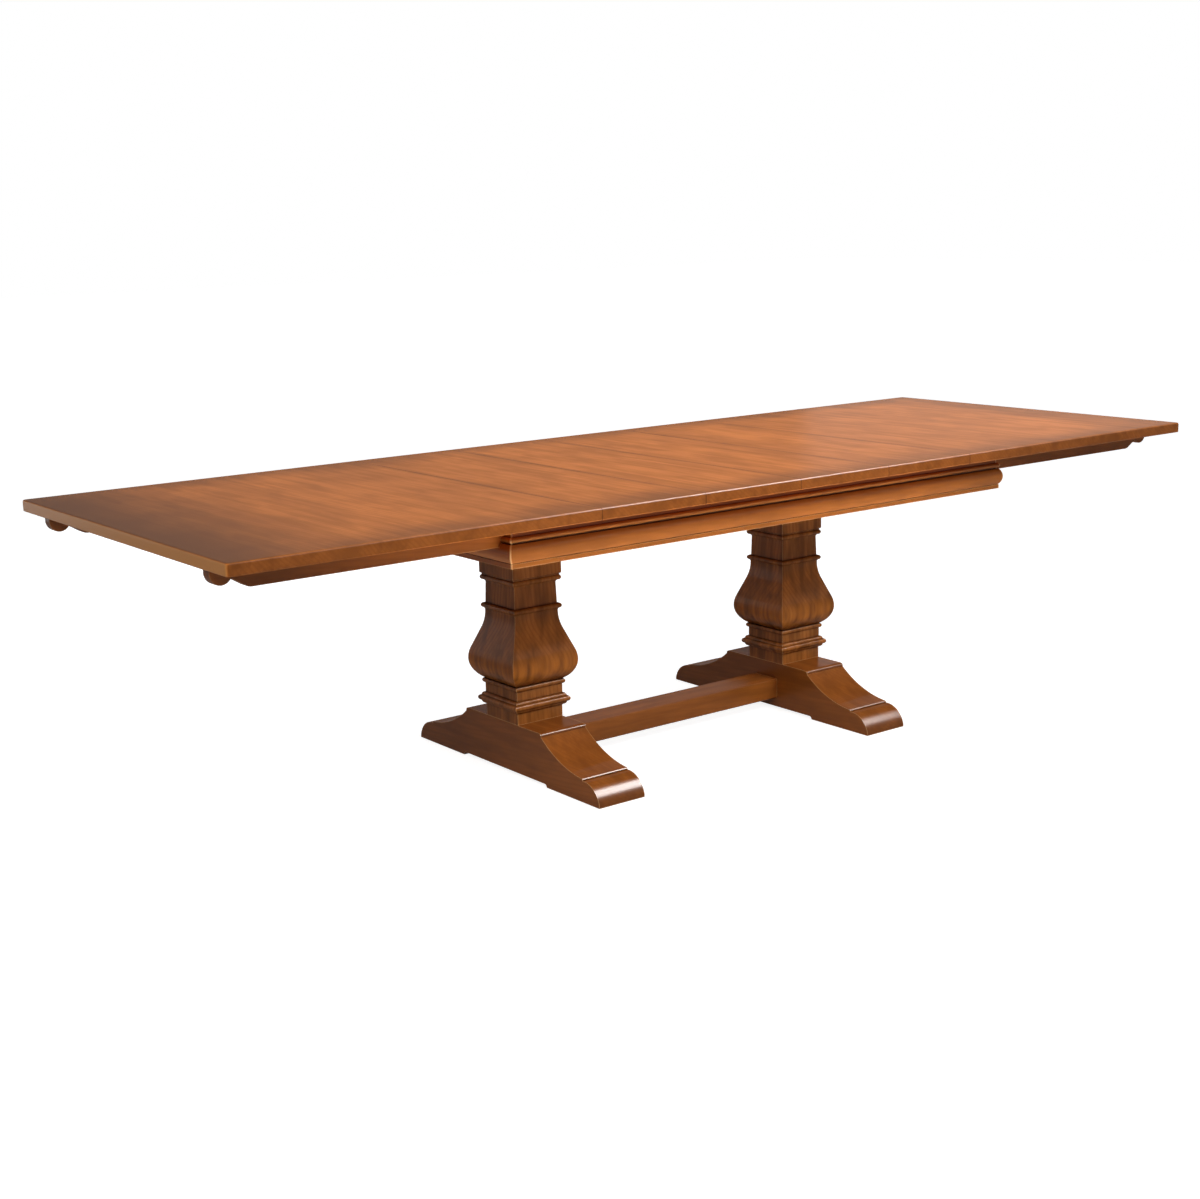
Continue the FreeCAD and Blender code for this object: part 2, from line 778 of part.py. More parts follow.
def column_edge():
    """Half outline of the column, half width against height; neck and block share the plain height."""
    base_bottom = S.plinth_height + S.base_step
    torus_half = S.lower_neck_half + S.base_round
    torus_bottom = base_bottom + S.base_round
    torus_top = torus_bottom + S.torus_height
    base_top = torus_top + S.base_round
    ring_bottom = base_top + S.lower_neck_height
    ring_top = ring_bottom + S.ring_height
    bulb_widest = ring_top + S.bulb_lower_height
    bulb_shoulder = bulb_widest + S.bulb_upper_height
    slope_top = bulb_shoulder + S.slope_height
    waist = slope_top + S.waist_height
    collar_half = S.waist_half + S.collar_cove_proud
    collar_bottom = waist + S.waist_straight
    bead_bottom = collar_bottom + S.collar_cove_height
    collar_top = bead_bottom + S.collar_bead_height
    block_round = S.block_half - S.cap_quirk_half
    cap_height = S.cap_cove_height + S.astragal_height + S.cap_quirk_height + block_round
    plain_height = column_height - collar_top - cap_height
    neck_top = collar_top + plain_height * S.neck_height / (S.neck_height + S.block_height)
    astragal_bottom = neck_top + S.cap_cove_height
    astragal_top = astragal_bottom + S.astragal_height
    quirk_top = astragal_top + S.cap_quirk_height
    return [
        ("line", S.plinth_half, 0),
        ("line", S.plinth_half, S.plinth_height),
        ("line", S.lower_neck_half, base_bottom),
        ("round", torus_half, torus_bottom, S.base_round),
        ("round", torus_half, torus_top, bow_radius(S.torus_height, S.torus_proud)),
        ("round", S.lower_neck_half, base_top, S.base_round),
        ("line", S.lower_neck_half, ring_bottom),
        ("round", S.lower_neck_half, ring_top, bow_radius(S.ring_height, S.ring_proud)),
        ("line", S.bulb_foot_half, ring_top),
        ("round", S.bulb_half, bulb_widest,
         sweep_radius(S.bulb_lower_height, S.bulb_half - S.bulb_foot_half)),
        ("round", S.bulb_shoulder_half, bulb_shoulder,
         sweep_radius(S.bulb_upper_height, S.bulb_half - S.bulb_shoulder_half)),
        ("line", S.slope_top_half, slope_top),
        ("cove", S.waist_half, waist, sweep_radius(S.waist_height, S.slope_top_half - S.waist_half)),
        ("line", S.waist_half, collar_bottom),
        ("cove", collar_half, bead_bottom, sweep_radius(S.collar_cove_height, S.collar_cove_proud)),
        ("round", collar_half, collar_top, bow_radius(S.collar_bead_height, S.collar_bead_proud)),
        ("line", S.neck_foot_half, collar_top),
        ("line", S.neck_top_half, neck_top),
        ("cove", S.cap_quirk_half, astragal_bottom,
         sweep_radius(S.cap_cove_height, S.cap_quirk_half - S.neck_top_half)),
        ("round", S.cap_quirk_half, astragal_top, bow_radius(S.astragal_height, S.astragal_proud)),
        ("line", S.cap_quirk_half, quirk_top),
        ("round", S.block_half, quirk_top + block_round, block_round),
        ("line", S.block_half, column_height),
    ]


def column(label, x):
    """A four-sided column: one moulded outline cut through both ways, with a tenon at each end."""
    body = new_body(label)
    edge = column_edge()
    front = sketch_on(body, "XZ_Plane")
    add_outline(front, edge + mirrored(edge))
    pad(body, front, 4 * S.bulb_half, symmetric=True)
    waste = sketch_on(body, "YZ_Plane")
    far = 3 * S.bulb_half
    for path, reach in ((edge, far), (mirrored(edge), -far)):
        first, last = path[0], path[-1]
        add_outline(waste, path + [("line", reach, last[2]), ("line", reach, first[2])])
    pocket(body, waste)
    tenon = S.column_tenon_half
    for level in (-S.column_tenon_length, column_height):
        sketch = sketch_on(body, "XY_Plane", level)
        add_outline(sketch, rectangle(-tenon, tenon, -tenon, tenon))
        pad(body, sketch, S.column_tenon_length)
    drill_through(body, [(0, 0)], S.rod_radius + S.rod_clearance)
    place(body, x=x, z=S.foot_height)


def foot(label, x, turned):
    """A trestle foot: rounded toes, hollow insteps, a flat top and a relieved underside."""
    body = new_body(label)
    pad_round = S.relief_height - S.glide_thickness
    edge = [
        ("line", S.pad_inner_reach - pad_round, S.relief_height),
        ("cove", S.pad_inner_reach, S.glide_thickness, pad_round),
        ("line", S.toe_reach, S.glide_thickness),
        ("line", S.toe_reach, S.glide_thickness + S.toe_upright),
        ("round", S.toe_ridge_reach, S.toe_ridge_height - S.toe_step, S.toe_round),
        ("line", S.toe_ridge_reach, S.toe_ridge_height),
        ("cove", S.shoulder_reach, S.shoulder_height, S.instep_round),
        ("line", S.shoulder_reach, S.shoulder_height + S.shoulder_step),
        ("round", S.shoulder_flat_reach, S.foot_height, S.shoulder_round),
    ]
    outline = sketch_on(body, "YZ_Plane")
    add_outline(outline, edge + mirrored(edge))
    pad(body, outline, S.foot_width, symmetric=True)
    mortise = sketch_on(body, "YZ_Plane", S.foot_width / 2)
    side = S.tenon_width / 2 + S.tenon_clearance
    low = tenon_bottom - S.tenon_clearance
    high = tenon_bottom + S.tenon_height + S.tenon_clearance
    add_outline(mortise, rectangle(-side, side, low, high))
    pocket(body, mortise, S.tenon_length + S.tenon_clearance)
    recess(body, dim(0), column_mortise_half, S.foot_height, column_mortise_depth, upwards=False)
    drill_through(body, [(0, 0)], S.rod_radius + S.rod_clearance)
    drill(body, [(0, 0)], S.counterbore_radius, 0, rod_seat_low, upwards=True)
    place(body, x=x, turned=turned)


def squares(body, centres, side, level, height):
    """Square nuts or bolt heads of one size on the length axis."""
    sketch = sketch_on(body, "XY_Plane", level)
    for x in centres:
        add_outline(sketch, rectangle(x - side / 2, x + side / 2, -side / 2, side / 2))
    pad(body, sketch, height)


# Places that hang on the pieces above
bearer_places = [
    (-pedestal_x, S.bearer_width),
    (dim(0), S.centre_bearer_width),
    (pedestal_x, S.bearer_width),
]
column_mortise_half = S.column_tenon_half + S.tenon_clearance
column_mortise_depth = S.column_tenon_length + S.tenon_clearance
tenon_bottom = S.stretcher_bottom + (S.stretcher_height - S.tenon_height) / 2
pedestals = (-pedestal_x, pedestal_x)
rod_seat_low = S.relief_height + S.counterbore_depth
rod_seat_high = bearer_top - S.counterbore_depth


# Feet, columns and the stretcher
foot("left_foot", -pedestal_x, turned=False)
foot("right_foot", pedestal_x, turned=True)
column("left_column", -pedestal_x)
column("right_column", pedestal_x)

glides = new_body("foot_glides")
glide_sketch = sketch_on(glides, "XY_Plane")
for x in pedestals:
    for near in (-S.glide_reach, S.glide_reach - S.glide_length):
        x_span = (x - S.glide_width / 2, x + S.glide_width / 2)
        add_outline(glide_sketch, rectangle(*x_span, near, near + S.glide_length))
pad(glides, glide_sketch, S.glide_thickness)

stretcher_half = pedestal_x - S.foot_width / 2
stretcher = new_body("stretcher")
for width, bottom, height, extra in (
    (S.stretcher_width, S.stretcher_bottom, S.stretcher_height, 0),
    (S.tenon_width, tenon_bottom, S.tenon_height, S.tenon_length),
):
    section = sketch_on(stretcher, "YZ_Plane")
    add_outline(section, rectangle(-width / 2, width / 2, bottom, bottom + height))
    pad(stretcher, section, 2 * (stretcher_half + extra), symmetric=True)

# Tie rods with their square nuts
rod_low = rod_seat_low - S.nut_thickness - S.rod_thread_end
rod_high = rod_seat_high + S.nut_thickness + S.rod_thread_end
for label, x in (("left_tie_rod", -pedestal_x), ("right_tie_rod", pedestal_x)):
    discs(new_body(label), [(x, 0)], S.rod_radius, rod_low, rod_high - rod_low)
nuts = new_body("tie_rod_nuts")
for nut_level in (rod_seat_low - S.nut_thickness, rod_seat_high):
    squares(nuts, pedestals, S.nut_side, nut_level, S.nut_thickness)
drill_through(nuts, [(x, 0) for x in pedestals], S.rod_radius)

# Apron, its corner blocks, the bearers and the guide rails
long_apron("apron_rear", turned=False)
long_apron("apron_front", turned=True)
end_apron("apron_right", turned=False)
end_apron("apron_left", turned=True)

corner_blocks = new_body("corner_blocks")
corner_sketch = sketch_on(corner_blocks, "XY_Plane", apron_bottom + S.corner_block_rise)
for side_x in (-1, 1):
    for side_y in (-1, 1):
        corner_x, corner_y = side_x * apron_inner_x, side_y * apron_inner_y
        add_outline(corner_sketch, [
            ("line", corner_x, corner_y),
            ("line", corner_x - side_x * S.corner_block_leg, corner_y),
            ("line", corner_x, corner_y - side_y * S.corner_block_leg),
        ])
pad(corner_blocks, corner_sketch, S.corner_block_height)

pedestal_bearer("left_bearer", -pedestal_x)
pedestal_bearer("right_bearer", pedestal_x)
centre_bearer = bearer("centre_bearer", dim(0), S.centre_bearer_width)
drill(centre_bearer, [(0, 0)], S.axle_radius, bearer_top, S.axle_depth, upwards=False)
guide_rail("guide_rail_rear", turned=False)
guide_rail("guide_rail_front", turned=True)

# Equalising gear on the centre bearer
pinion()
axle = new_body("pinion_axle")
axle_top = bearer_top + S.pinion_thickness + S.axle_end_play
discs(axle, [(0, 0)], S.axle_radius, bearer_top - S.axle_depth, axle_top - bearer_top + S.axle_depth)
squares(axle, [dim(0)], S.axle_head_side, axle_top, S.axle_head_height)

keeper_face = rack_back_y + S.slide_clearance
keeper_top = rack_top + S.slide_clearance + S.keeper_lip_height
keepers = new_body("rack_keepers")
for x, sides in ((-pedestal_x, (1,)), (dim(0), (-1, 1)), (pedestal_x, (-1,))):
    keeper_sketch = sketch_on(keepers, "YZ_Plane", x - S.keeper_length / 2)
    for side in sides:
        add_outline(keeper_sketch, [
            ("line", side * keeper_face, bearer_top),
            ("line", side * (keeper_face + S.keeper_wall), bearer_top),
            ("line", side * (keeper_face + S.keeper_wall), keeper_top),
            ("line", side * (keeper_face - S.keeper_lip), keeper_top),
            ("line", side * (keeper_face - S.keeper_lip), keeper_top - S.keeper_lip_height),
            ("line", side * keeper_face, keeper_top - S.keeper_lip_height),
        ])
    pad(keepers, keeper_sketch, S.keeper_length)

# The two halves with all that slides along with them
top_half("left_top", glued=True, turned=True)
top_half("right_top", glued=False, turned=False)
for name, turned in (("left", True), ("right", False)):
    for side, native, other in ((-1, "front", "rear"), (1, "rear", "front")):
        sliding_rail(f"{name}_rail_{other if turned else native}", side, turned)
    batten_reach = guide_inner_y - S.batten_end_gap
    batten = block(
        f"{name}_batten",
        (batten_start, batten_end),
        (-batten_reach, batten_reach),
        (batten_bottom, underside),
    )
    place(batten, turned=turned)
    rack(f"{name}_rack", turned)

# Leaves and the tongues across the five seams
for number in range(1, LEAVES + 1):
    leaf(f"leaf_{number}", (number - 0.5) * S.leaf_width - leaf_reach)
    seam_tongues(f"leaf_{number}_tongues", number * S.leaf_width - leaf_reach)
seam_tongues("left_top_tongues", -leaf_reach)

doc.recompute()

# Every feature and every finished piece is tested before anything is written
for item in doc.Objects:
    if "Invalid" in item.State or "Error" in item.State:
        raise RuntimeError(f"{item.Label} failed: {item.State}")
    if item.TypeId == "PartDesign::Pocket":
        removed = item.BaseFeature.Shape.Volume - item.Shape.Volume
        if removed < 1e-3:
            raise RuntimeError(f"{item.Label} cuts nothing")
for label, item in nodes.items():
    if item.Shape.isNull() or not item.Shape.isValid():
        raise RuntimeError(f"{label} has no valid shape")

os.makedirs("parts", exist_ok=True)
for label, item in nodes.items():
    item.Shape.exportStep(f"parts/{label}.step")
    print(f"{label}: {len(item.Shape.Solids)} solids, {item.Shape.Volume / 1000:.1f} cm3")
print(f"{len(nodes)} nodes")
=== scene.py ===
# %% [markdown]
# # A double pedestal dining table
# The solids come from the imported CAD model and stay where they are. This lesson adds what a drawing
# office leaves to the finisher: stained and lacquered wood, softened edges, screws, light and a camera.
# All lengths in Blender are metres, in the frame of the CAD model, with the floor at zero.

# %% Load the frame
import json
import math

import bmesh
import bpy
from mathutils import Matrix, Vector

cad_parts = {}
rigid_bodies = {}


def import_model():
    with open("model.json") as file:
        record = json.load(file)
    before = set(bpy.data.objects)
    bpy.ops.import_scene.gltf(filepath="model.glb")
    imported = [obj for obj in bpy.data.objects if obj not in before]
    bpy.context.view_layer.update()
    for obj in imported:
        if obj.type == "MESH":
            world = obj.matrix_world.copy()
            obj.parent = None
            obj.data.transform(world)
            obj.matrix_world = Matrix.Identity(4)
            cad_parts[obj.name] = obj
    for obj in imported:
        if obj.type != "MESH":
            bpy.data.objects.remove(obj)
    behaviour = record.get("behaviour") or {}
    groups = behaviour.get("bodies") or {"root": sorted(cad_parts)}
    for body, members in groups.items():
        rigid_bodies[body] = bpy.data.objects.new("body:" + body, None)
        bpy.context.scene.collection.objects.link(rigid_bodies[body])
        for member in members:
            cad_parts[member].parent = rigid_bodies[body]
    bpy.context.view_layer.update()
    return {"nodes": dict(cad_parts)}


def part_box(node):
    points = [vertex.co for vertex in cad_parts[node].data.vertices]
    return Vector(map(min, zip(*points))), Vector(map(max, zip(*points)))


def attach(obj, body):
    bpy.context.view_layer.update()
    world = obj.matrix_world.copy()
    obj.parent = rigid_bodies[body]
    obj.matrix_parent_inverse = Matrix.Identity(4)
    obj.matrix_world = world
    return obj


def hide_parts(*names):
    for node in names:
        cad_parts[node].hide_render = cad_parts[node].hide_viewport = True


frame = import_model()
MM = 0.001
METRE_IN_MM = 1000

# %% [markdown]
# ## Colours and nodes
# Colours are picked as sRGB hex values, as on a paint card, but shaders work in linear light, so one
# function converts them. A second one adds a shader node with its settings and its links in one line.

# %% Helpers for materials


def linear(code):
    """A hex colour as linear red, green, blue and alpha."""
    parts = [int(code[place:place + 2], 16) / 255 for place in (1, 3, 5)]
    return [part / 12.92 if part <= 0.04045 else ((part + 0.055) / 1.055) ** 2.4
            for part in parts] + [1.0]


def add(tree, kind, inputs=None, **settings):
    """Add a node; inputs gives a value or another node's socket for each input by name or number."""
    made = tree.nodes.new("ShaderNode" + kind)
    for name, value in settings.items():
        setattr(made, name, value)
    for socket, value in (inputs or {}).items():
        if isinstance(value, bpy.types.NodeSocket):
            tree.links.new(value, made.inputs[socket])
        else:
            made.inputs[socket].default_value = value
    return made


def bare_tree(owner):
    """The emptied node tree of a material or a world."""
    owner.use_nodes = True
    owner.node_tree.nodes.clear()
    return owner.node_tree


print("half bright on a paint card is", round(linear("#808080")[0], 3), "in linear light")

# %% [markdown]
# ## The grain
# The table is cherry. Wood could be painted with an image, but a procedural grain has no seams and follows
# every piece: three noises, stretched along the grain, give fine pores, streaks and soft clouds, and a bent
# wave gives the darker growth lines of the figure. Each is sized in millimetres across and along the grain.
# The pores of cherry are under a tenth of a millimetre, so they are drawn coarser here to show at all.

# %% The figure of the wood
GRAIN_MM = {"pores": (2.2, 60), "streaks": (20, 420), "clouds": (60, 170)}
GROWTH_MM, GROWTH_BEND_MM = 13, 140
GROWTH_STRETCH, GROWTH_SWAY = 0.1, 14.0
WAVE_PERIOD = 2 * math.pi / 10  # the Wave texture repeats after this length at a scale of one


def grain_figure(tree, spot, grain):
    """The noises and the growth lines of wood that grew along one axis, as sockets by name."""
    figure = {}
    for feature, (across, along) in GRAIN_MM.items():
        scale = [METRE_IN_MM / (along if axis == grain else across) for axis in "XYZ"]
        stretched = add(tree, "Mapping", {"Vector": spot.outputs["Object"], "Scale": scale})
        noise = add(tree, "TexNoise", {"Vector": stretched.outputs[0], "Scale": 1.0, "Detail": 3.0,
                                       "Distortion": 0.4})
        figure[feature] = noise.outputs[0]
    drawn_out = [GROWTH_STRETCH if axis == grain else 1.0 for axis in "XYZ"]
    rings = add(tree, "Mapping", {"Vector": spot.outputs["Object"], "Scale": drawn_out})
    growth = add(tree, "TexWave", {"Vector": rings.outputs[0], "Distortion": GROWTH_SWAY, "Detail": 2.0,
                                   "Scale": METRE_IN_MM * WAVE_PERIOD / GROWTH_MM,
                                   "Detail Scale": GROWTH_MM / GROWTH_BEND_MM / WAVE_PERIOD},
                 bands_direction="DIAGONAL")
    figure["growth"] = growth.outputs[1]
    return figure


print("grain, across and along in mm:", GRAIN_MM)

# %% [markdown]
# ## The stain
# A wiped stain sinks in unevenly. One flat colour would look like paint, so the streaks and the clouds mix
# a light and a dark tone, the growth lines and the pores hold more of the dark one, and the cut ends, where
# the normal points along the grain, drink the most.

# %% Stain on the figure
LATE_WOOD_DARK, PORE_DARK = 0.4, 0.45


def stained_wood(tree, spot, figure, grain, stain, dark_stain, end_stain):
    """The stained colour of the wood, as a socket."""
    both = add(tree, "Math", {0: figure["streaks"], 1: figure["clouds"]}, operation="ADD")
    tone = add(tree, "MapRange", {"Value": both.outputs[0], "From Min": 0.8, "From Max": 1.2})
    colour = add(tree, "Mix", {0: tone.outputs[0], 6: linear(dark_stain), 7: linear(stain)},
                 data_type="RGBA")
    late = add(tree, "MapRange", {"Value": figure["growth"], "From Min": 0.45, "From Max": 1.0,
                                  "To Max": LATE_WOOD_DARK})
    pores = add(tree, "MapRange", {"Value": figure["pores"], "From Min": 0.56, "From Max": 0.74,
                                   "To Max": PORE_DARK})
    lines = add(tree, "Math", {0: late.outputs[0], 1: pores.outputs[0]}, operation="MAXIMUM")
    figured = add(tree, "Mix", {0: lines.outputs[0], 6: colour.outputs[2], 7: linear(dark_stain)},
                  data_type="RGBA")
    facing = add(tree, "SeparateXYZ", {0: spot.outputs["Normal"]})
    cut = add(tree, "Math", {0: facing.outputs[grain]}, operation="ABSOLUTE")
    end = add(tree, "MapRange", {"Value": cut.outputs[0], "From Min": 0.6, "From Max": 0.9})
    stained = add(tree, "Mix", {0: end.outputs[0], 6: figured.outputs[2], 7: linear(end_stain)},
                  data_type="RGBA", blend_type="MULTIPLY")
    return stained.outputs[2]


print("growth lines take", LATE_WOOD_DARK, "of the dark stain, pores", PORE_DARK)

# %% [markdown]
# ## Painted shade and painted highlights
# On the base the hollows of the mouldings are painted darker, as painted shade, and the outer edges are
# painted paler, as painted highlights. Both could be painted by hand, piece by piece. Here ambient
# occlusion over a few millimetres finds the hollows, and looking into the wood it finds the edges.

# %% Painted shade in the hollows, painted highlights on the edges
HOLLOW_SHADE_REACH, EDGE_HIGHLIGHT_REACH = 8 * MM, 3 * MM
HOLLOW_SHADE_COLOUR, EDGE_HIGHLIGHT_COLOUR = "#2a180b", "#d8a870"
OCCLUSION_RAYS = 8


def paint_shade_and_highlights(tree, stained, hollow_shade, edge_highlight):
    """The stained colour with painted shade in its hollows and painted highlights on its edges, as a socket.
    """
    # painted shade: the hollows that ambient occlusion finds are darkened
    hollow = add(tree, "AmbientOcclusion", {"Distance": HOLLOW_SHADE_REACH}, samples=OCCLUSION_RAYS,
                 only_local=True)
    left = add(tree, "MapRange", {"Value": hollow.outputs["AO"], "From Min": 0.4, "From Max": 0.88,
                                  "To Min": hollow_shade, "To Max": 0.0})
    hollow_shaded = add(tree, "Mix", {0: left.outputs[0], 6: stained, 7: linear(HOLLOW_SHADE_COLOUR)}, data_type="RGBA")
    # painted highlight: the outer edges are made paler
    edge = add(tree, "AmbientOcclusion", {"Distance": EDGE_HIGHLIGHT_REACH}, samples=OCCLUSION_RAYS,
               only_local=True, inside=True)
    edge_highlight_amount = add(tree, "MapRange", {"Value": edge.outputs["AO"], "From Min": 0.5, "From Max": 0.85,
                                  "To Min": edge_highlight, "To Max": 0.0})
    highlit = add(tree, "Mix", {0: edge_highlight_amount.outputs[0], 6: hollow_shaded.outputs[2], 7: linear(EDGE_HIGHLIGHT_COLOUR)},
                 data_type="RGBA")
    return highlit.outputs[2]


print("glaze reaches", HOLLOW_SHADE_REACH, "m into a hollow, edges are rubbed for", EDGE_HIGHLIGHT_REACH, "m")

# %% [markdown]
# ## The lacquer
# Last comes a sprayed satin lacquer. A lower roughness of the wood itself would make it look wet, so the
# wood stays matt and the lacquer is a thin clear coat over it, with the pores as a slight relief.

# %% A wood with its finish
PORE_DEPTH, PORE_RELIEF = 0.05 * MM, 0.25
WOOD_ROUGH = 0.6
LACQUER_IOR, LACQUER_ROUGH = 1.5, 0.24


def finished_wood(name, grain, stain, dark_stain, end_stain, lacquer, hollow_shade=0.0, edge_highlight=0.0):
    """Make the wood; returns the material, its shader and its texture coordinate node."""
    material = bpy.data.materials.new(name)
    tree = bare_tree(material)
    spot = add(tree, "TexCoord")
    figure = grain_figure(tree, spot, grain)
    colour = stained_wood(tree, spot, figure, grain, stain, dark_stain, end_stain)
    if hollow_shade:
        colour = paint_shade_and_highlights(tree, colour, hollow_shade, edge_highlight)
    relief = add(tree, "Bump", {"Strength": PORE_RELIEF, "Distance": PORE_DEPTH, "Height": figure["pores"]})
    shader = add(tree, "BsdfPrincipled", {
        "Base Color": colour, "Roughness": WOOD_ROUGH, "Specular IOR Level": 0.0,
        "Normal": relief.outputs[0], "Coat Weight": lacquer, "Coat IOR": LACQUER_IOR,
        "Coat Roughness": LACQUER_ROUGH,
    })
    add(tree, "OutputMaterial", {"Surface": shader.outputs[0]})
    return material, shader, spot


print("lacquer with an IOR of", LACQUER_IOR, "and a roughness of", LACQUER_ROUGH)

# %% Lacquered cherry of the base, with painted shade and painted highlights
# Lacquered cherry: a warm brown with a soft sheen; painted shade makes the hollows near-black and painted
# highlights make the edges pale
BASE_STAIN = {"X": "#8c5020", "Y": "#8c5020", "Z": "#9f602c"}
BASE_DARK = {"X": "#7a451b", "Y": "#7a451b", "Z": "#74441c"}
BASE_END = "#d0cccc"
BASE_LACQUER = {"X": 0.18, "Y": 0.18, "Z": 0.14}
# how strongly the hollows get painted shade and the edges get painted highlights
BASE_HOLLOW_SHADE, BASE_EDGE_HIGHLIGHT = 0.85, 0.45
base_wood, base_shader, base_spot = {}, {}, {}
for grain in "XYZ":
    base_wood[grain], base_shader[grain], base_spot[grain] = finished_wood(
        f"lacquered_cherry_along_{grain}", grain, BASE_STAIN[grain], BASE_DARK[grain], BASE_END,
        BASE_LACQUER[grain], BASE_HOLLOW_SHADE, BASE_EDGE_HIGHLIGHT)
print("base wood with the grain along", *base_wood)

# %% [markdown]
# ## Painted light on the bellies
# Under the widest part of each column a golden band is painted, as painted light, broken by the darker
# streaks of the wood. A lamp could give it for one view only. Here the height above the floor gives the band,
# and a noise that is stretched upright breaks it.

# %% Painted light on the bellies of the columns
BELLY_FOOT, BELLY_BRIGHT, BELLY_WIDE = 246 * MM, 275 * MM, 326 * MM
# the golden band under the widest part is painted light
BELLY_LIGHT_COLOUR, BELLY_LIGHT_STRENGTH = "#c2732a", 0.55
BELLY_STREAK_MM = {"across": 20, "along": 260}

tree = base_wood["Z"].node_tree
height = add(tree, "SeparateXYZ", {0: base_spot["Z"].outputs["Object"]})
rise = add(tree, "MapRange", {"Value": height.outputs["Z"], "From Min": BELLY_FOOT,
                              "From Max": BELLY_BRIGHT}, interpolation_type="SMOOTHSTEP")
fall = add(tree, "MapRange", {"Value": height.outputs["Z"], "From Min": BELLY_BRIGHT,
                              "From Max": BELLY_WIDE, "To Min": BELLY_LIGHT_STRENGTH, "To Max": 0.0},
           interpolation_type="SMOOTHSTEP")
band = add(tree, "Math", {0: rise.outputs[0], 1: fall.outputs[0]}, operation="MULTIPLY")
upright = [METRE_IN_MM / BELLY_STREAK_MM[way] for way in ("across", "across", "along")]
streak_place = add(tree, "Mapping", {"Vector": base_spot["Z"].outputs["Object"], "Scale": upright})
streak = add(tree, "TexNoise", {"Vector": streak_place.outputs[0], "Scale": 1.0, "Detail": 1.0})
patches = add(tree, "MapRange", {"Value": streak.outputs[0], "From Min": 0.38, "From Max": 0.6})
belly_light = add(tree, "Math", {0: band.outputs[0], 1: patches.outputs[0]}, operation="MULTIPLY")
shaded_and_highlit_colour = base_shader["Z"].inputs["Base Color"].links[0].from_socket
bellies = add(tree, "Mix", {0: belly_light.outputs[0], 6: shaded_and_highlit_colour, 7: linear(BELLY_LIGHT_COLOUR)},
              data_type="RGBA")
tree.links.new(bellies.outputs[2], base_shader["Z"].inputs["Base Color"])
print("bellies rubbed between", BELLY_FOOT, "and", BELLY_WIDE, "m")

# %% [markdown]
# ## The boards of the top
# The top gets none of the base's painted shade and highlights. Its boards run across the table, glued side by
# side, and each one takes the stain a little differently. A board could be a piece of its own, but the joints
# can't be seen or felt, so a white noise by board number shifts the tone instead. The two end faces of the
# table are painted paler, as painted sheen.

# %% Boards of lacquered cherry
# Lacquered cherry with no painted shade in hollows: an even, warm orange brown that mirrors the light in a
# broad soft sheen
TOP_STAIN, TOP_DARK, TOP_END = "#be6e2f", "#9e5a23", "#aca8a4"
TOP_LACQUER = 0.14
LEAF_LOW, LEAF_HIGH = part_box("leaf_2")
SEAM_GAP = 0.3 * MM
LEAF_PITCH = LEAF_HIGH.x - LEAF_LOW.x + SEAM_GAP
BOARDS_IN_LEAF = 3
BOARD = LEAF_PITCH / BOARDS_IN_LEAF
BOARD_DARK, BOARD_SHIFT = "#8a4e22", 0.28
# the end faces of the top are painted paler: painted sheen
END_FACE_SHEEN = "#b07640"

top_wood, top_shader, top_spot = finished_wood("lacquered_cherry_top", "Y", TOP_STAIN, TOP_DARK, TOP_END,
                                               TOP_LACQUER)
tree = top_wood.node_tree
axis = add(tree, "SeparateXYZ", {0: top_spot.outputs["Object"]})
board = add(tree, "Math", {0: axis.outputs["X"], 1: BOARD}, operation="DIVIDE")
board_number = add(tree, "Math", {0: board.outputs[0]}, operation="FLOOR")
board_tone = add(tree, "TexWhiteNoise", {"W": board_number.outputs[0]}, noise_dimensions="1D")
board_shift = add(tree, "MapRange", {"Value": board_tone.outputs[0], "To Max": BOARD_SHIFT})
wood_colour = top_shader.inputs["Base Color"].links[0].from_socket
boards = add(tree, "Mix", {0: board_shift.outputs[0], 6: wood_colour, 7: linear(BOARD_DARK)},
             data_type="RGBA")
facing = add(tree, "SeparateXYZ", {0: top_spot.outputs["Normal"]})
endways = add(tree, "Math", {0: facing.outputs["X"]}, operation="ABSOLUTE")
end_face = add(tree, "MapRange", {"Value": endways.outputs[0], "From Min": 0.6, "From Max": 0.9})
# painted sheen on the end faces
highlit = add(tree, "Mix", {0: end_face.outputs[0], 6: boards.outputs[2], 7: linear(END_FACE_SHEEN)},
             data_type="RGBA")
print("boards of", round(BOARD / MM, 1), "mm across the top")

# %% [markdown]
# ## The burnished rim and painted shade
# The finisher has sprayed a darker shade round the top: narrower at the right end and along the sides, and
# thin beside the seams, which show as dark lines. At the left end it is drawn broadest and darkest, and that
# extra darkness is painted shade. It could be painted by hand, but it only depends on how far a point is from
# an edge, so these distances are measured, and a slow noise makes the broad ones uneven.

# %% Shade from the ends and the sides
TOP_LOW, TOP_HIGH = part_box("right_top")
# one colour for the burnish and for the painted shade at the left end
BURNISH_AND_PAINTED_SHADE = "#62391a"
UNEVEN_MM = 240
UNEVEN_REACH = 160 * MM

